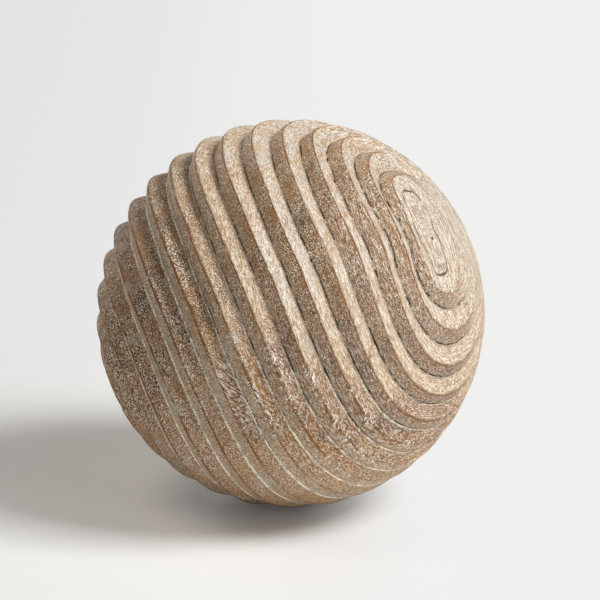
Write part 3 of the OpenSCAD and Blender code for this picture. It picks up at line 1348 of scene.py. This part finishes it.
@dataclass
class Studio:
    """Pale floor and backdrop, soft lamps and the camera."""

    floor_colour: Colour = (238, 239, 239)
    dim_floor: Colour = (235, 236, 236)
    floor_mottle: Pattern = Pattern(3.0, 2.0, 0.5)
    backdrop: Colour = (240, 240, 239)
    # Backdrop that camera rays see darker toward the left: painted shade.
    dim_backdrop: Colour = (228, 228, 228)
    # Share of the glow that camera rays see in the ball's shadow too: painted light that lifts the shadow.
    floor_glow: float = 0.07
    floor_roughness: float = 0.9
    floor_shine: float = 0.1
    clear_back: Span = (0.2, 0.5)
    clear_right: Span = (0.0, 0.12)
    dim_left: Span = (-0.3, 0.12)
    room_colour: Colour = (239, 239, 238)
    room_level: float = 0.03
    lamp_distance: float = 2.4
    lamps: tuple[Lamp, ...] = (
        Lamp("key_lamp", math.radians(66), math.radians(47), 58.5),
        Lamp("front_lamp", math.radians(45), math.radians(20), 8.0),
        Lamp("left_lamp", math.radians(-70), math.radians(62), 12.5, colour=(255, 242, 226)),
        Lamp("back_lamp", math.radians(-140), math.radians(20), 15.0),
    )
    sweep_radius: float = 0.9
    sweep_back: float = 1.6
    sweep_width: float = 8.0
    sweep_front: float = 3.0
    sweep_height: float = 3.5
    sweep_steps: int = 24
    camera_height: float = math.radians(15)
    camera_distance: float = 2.032
    camera_shift: Span = (6.05 * MM, 8.6 * MM)
    lens: float = 187.1
    sensor_width: float = 36.0
    view_depth: float = 50.0

    def floor_material(self) -> bpy.types.Material:
        """Mix the plain floor paper, which the camera sees as an even glow away from the ball, darker toward
        the left as painted shade, with a little painted light lifting the ball's shadow.

        Returns:
            The material.
        """
        material = bpy.data.materials.new("studio_paper")
        material.use_nodes = True
        plan = NodePlan(material.node_tree)
        shader = plan.tree.nodes["Principled BSDF"]
        shader.inputs["Roughness"].default_value = self.floor_roughness
        shader.inputs["Specular IOR Level"].default_value = self.floor_shine
        coordinates = plan.add("ShaderNodeTexCoord")
        spot = Wire(plan, coordinates.outputs["Object"])
        mottle = self.floor_mottle.over(plan, spot)
        colour = plan.paint(mottle, linear(self.floor_colour), linear(self.dim_floor))
        plan.feed(colour, shader.inputs["Base Color"])
        x, y, _ = plan.split(spot)
        seen = Wire(plan, plan.add("ShaderNodeLightPath").outputs["Is Camera Ray"])
        clear = plan.math("MAXIMUM", plan.ease(y, *self.clear_back), plan.ease(x, *self.clear_right))
        # Painted light: camera rays see a little glow in the ball's shadow.
        clear = plan.blend(clear, self.floor_glow, 1.0)
        paper = plan.add("ShaderNodeEmission")
        # Painted shade: the backdrop darkens toward the left.
        shown = plan.paint(plan.ease(x, *self.dim_left), linear(self.dim_backdrop), linear(self.backdrop))
        plan.feed(shown, paper.inputs["Color"])
        mix = plan.add("ShaderNodeMixShader")
        plan.feed(clear * seen, mix.inputs[0])
        plan.tree.links.new(shader.outputs[0], mix.inputs[1])
        plan.tree.links.new(paper.outputs[0], mix.inputs[2])
        plan.tree.links.new(mix.outputs[0], plan.tree.nodes["Material Output"].inputs["Surface"])
        return material

    def build_sweep(self, level: float) -> bpy.types.Object:
        """Lay the floor with its backdrop in one curved sheet.

        Args:
            level: Height of the floor.

        Returns:
            The sheet.
        """
        profile = [(-self.sweep_front, level), (self.sweep_back, level)]
        for i in range(1, self.sweep_steps + 1):
            turn = math.pi / 2 * i / self.sweep_steps
            profile.append((
                self.sweep_back + self.sweep_radius * math.sin(turn),
                level + self.sweep_radius * (1 - math.cos(turn)),
            ))
        profile.append((self.sweep_back + self.sweep_radius, level + self.sweep_height))
        half = self.sweep_width / 2
        points = [(x, y, z) for y, z in profile for x in (-half, half)]
        faces = [(2 * i, 2 * i + 1, 2 * i + 3, 2 * i + 2) for i in range(len(profile) - 1)]
        mesh = bpy.data.meshes.new("studio_sweep")
        mesh.from_pydata(points, [], faces)
        mesh.shade_smooth()
        mesh.materials.append(self.floor_material())
        sweep = bpy.data.objects.new("studio_sweep", mesh)
        bpy.context.scene.collection.objects.link(sweep)
        return sweep

    def hang(self, lamp: Lamp, target: Vector) -> None:
        """Hang a soft square lamp that points at the ball.

        Args:
            lamp: The lamp.
            target: Middle of the ball.
        """
        data = bpy.data.lights.new(lamp.name, "AREA")
        data.size = lamp.size
        data.energy = lamp.power
        data.color = linear(lamp.colour)[:3]
        level = math.cos(lamp.height)
        heading = Vector((math.sin(lamp.turn) * level, -math.cos(lamp.turn) * level, math.sin(lamp.height)))
        hung = bpy.data.objects.new(lamp.name, data)
        hung.location = target + heading * self.lamp_distance
        hung.rotation_euler = (-heading).to_track_quat("-Z", "Y").to_euler()
        bpy.context.scene.collection.objects.link(hung)

    def build_light(self, target: Vector) -> None:
        """Hang the lamps and set the light of the room.

        Args:
            target: Middle of the ball.
        """
        for lamp in self.lamps:
            self.hang(lamp, target)
        world = bpy.data.worlds.new("studio_room")
        world.use_nodes = True
        back = world.node_tree.nodes["Background"]
        back.inputs["Color"].default_value = linear(self.room_colour)
        back.inputs["Strength"].default_value = self.room_level
        bpy.context.scene.world = world

    def build_camera(self, target: Vector) -> None:
        """Stand the camera in front of the ball, looking a little down.

        Args:
            target: Middle of the ball.
        """
        up = Vector((0, math.sin(self.camera_height), math.cos(self.camera_height)))
        back = Vector((0, -math.cos(self.camera_height), math.sin(self.camera_height)))
        data = bpy.data.cameras.new("studio_camera")
        data.lens = self.lens
        data.sensor_width = self.sensor_width
        data.clip_end = self.view_depth
        camera = bpy.data.objects.new("studio_camera", data)
        right_shift, up_shift = self.camera_shift
        camera.location = target + back * self.camera_distance + Vector((right_shift, 0, 0)) + up * up_shift
        camera.rotation_euler = (-back).to_track_quat("-Z", "Y").to_euler()
        bpy.context.scene.collection.objects.link(camera)
        bpy.context.scene.camera = camera

    def build(self, piece: bpy.types.Object, radius: float) -> None:
        """Set the ball in the studio.

        Args:
            piece: The ball.
            radius: Its radius over the crests.
        """
        level = min(vertex.co.z for vertex in piece.data.vertices)
        target = Vector((0, 0, radius))
        self.build_sweep(level)
        self.build_light(target)
        self.build_camera(target)
        scene = bpy.context.scene
        scene.view_settings.view_transform = "Standard"
        log.info("studio: floor at %.5f m", level)


def main() -> None:
    """Build the ball and its studio."""
    logging.basicConfig(level=logging.INFO, format="%(name)s: %(message)s")
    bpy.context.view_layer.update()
    ball = CarvedBall()
    piece = ball.build(LimedWood().build(ball))
    Studio().build(piece, ball.radius)


if __name__ == "__main__":
    main()
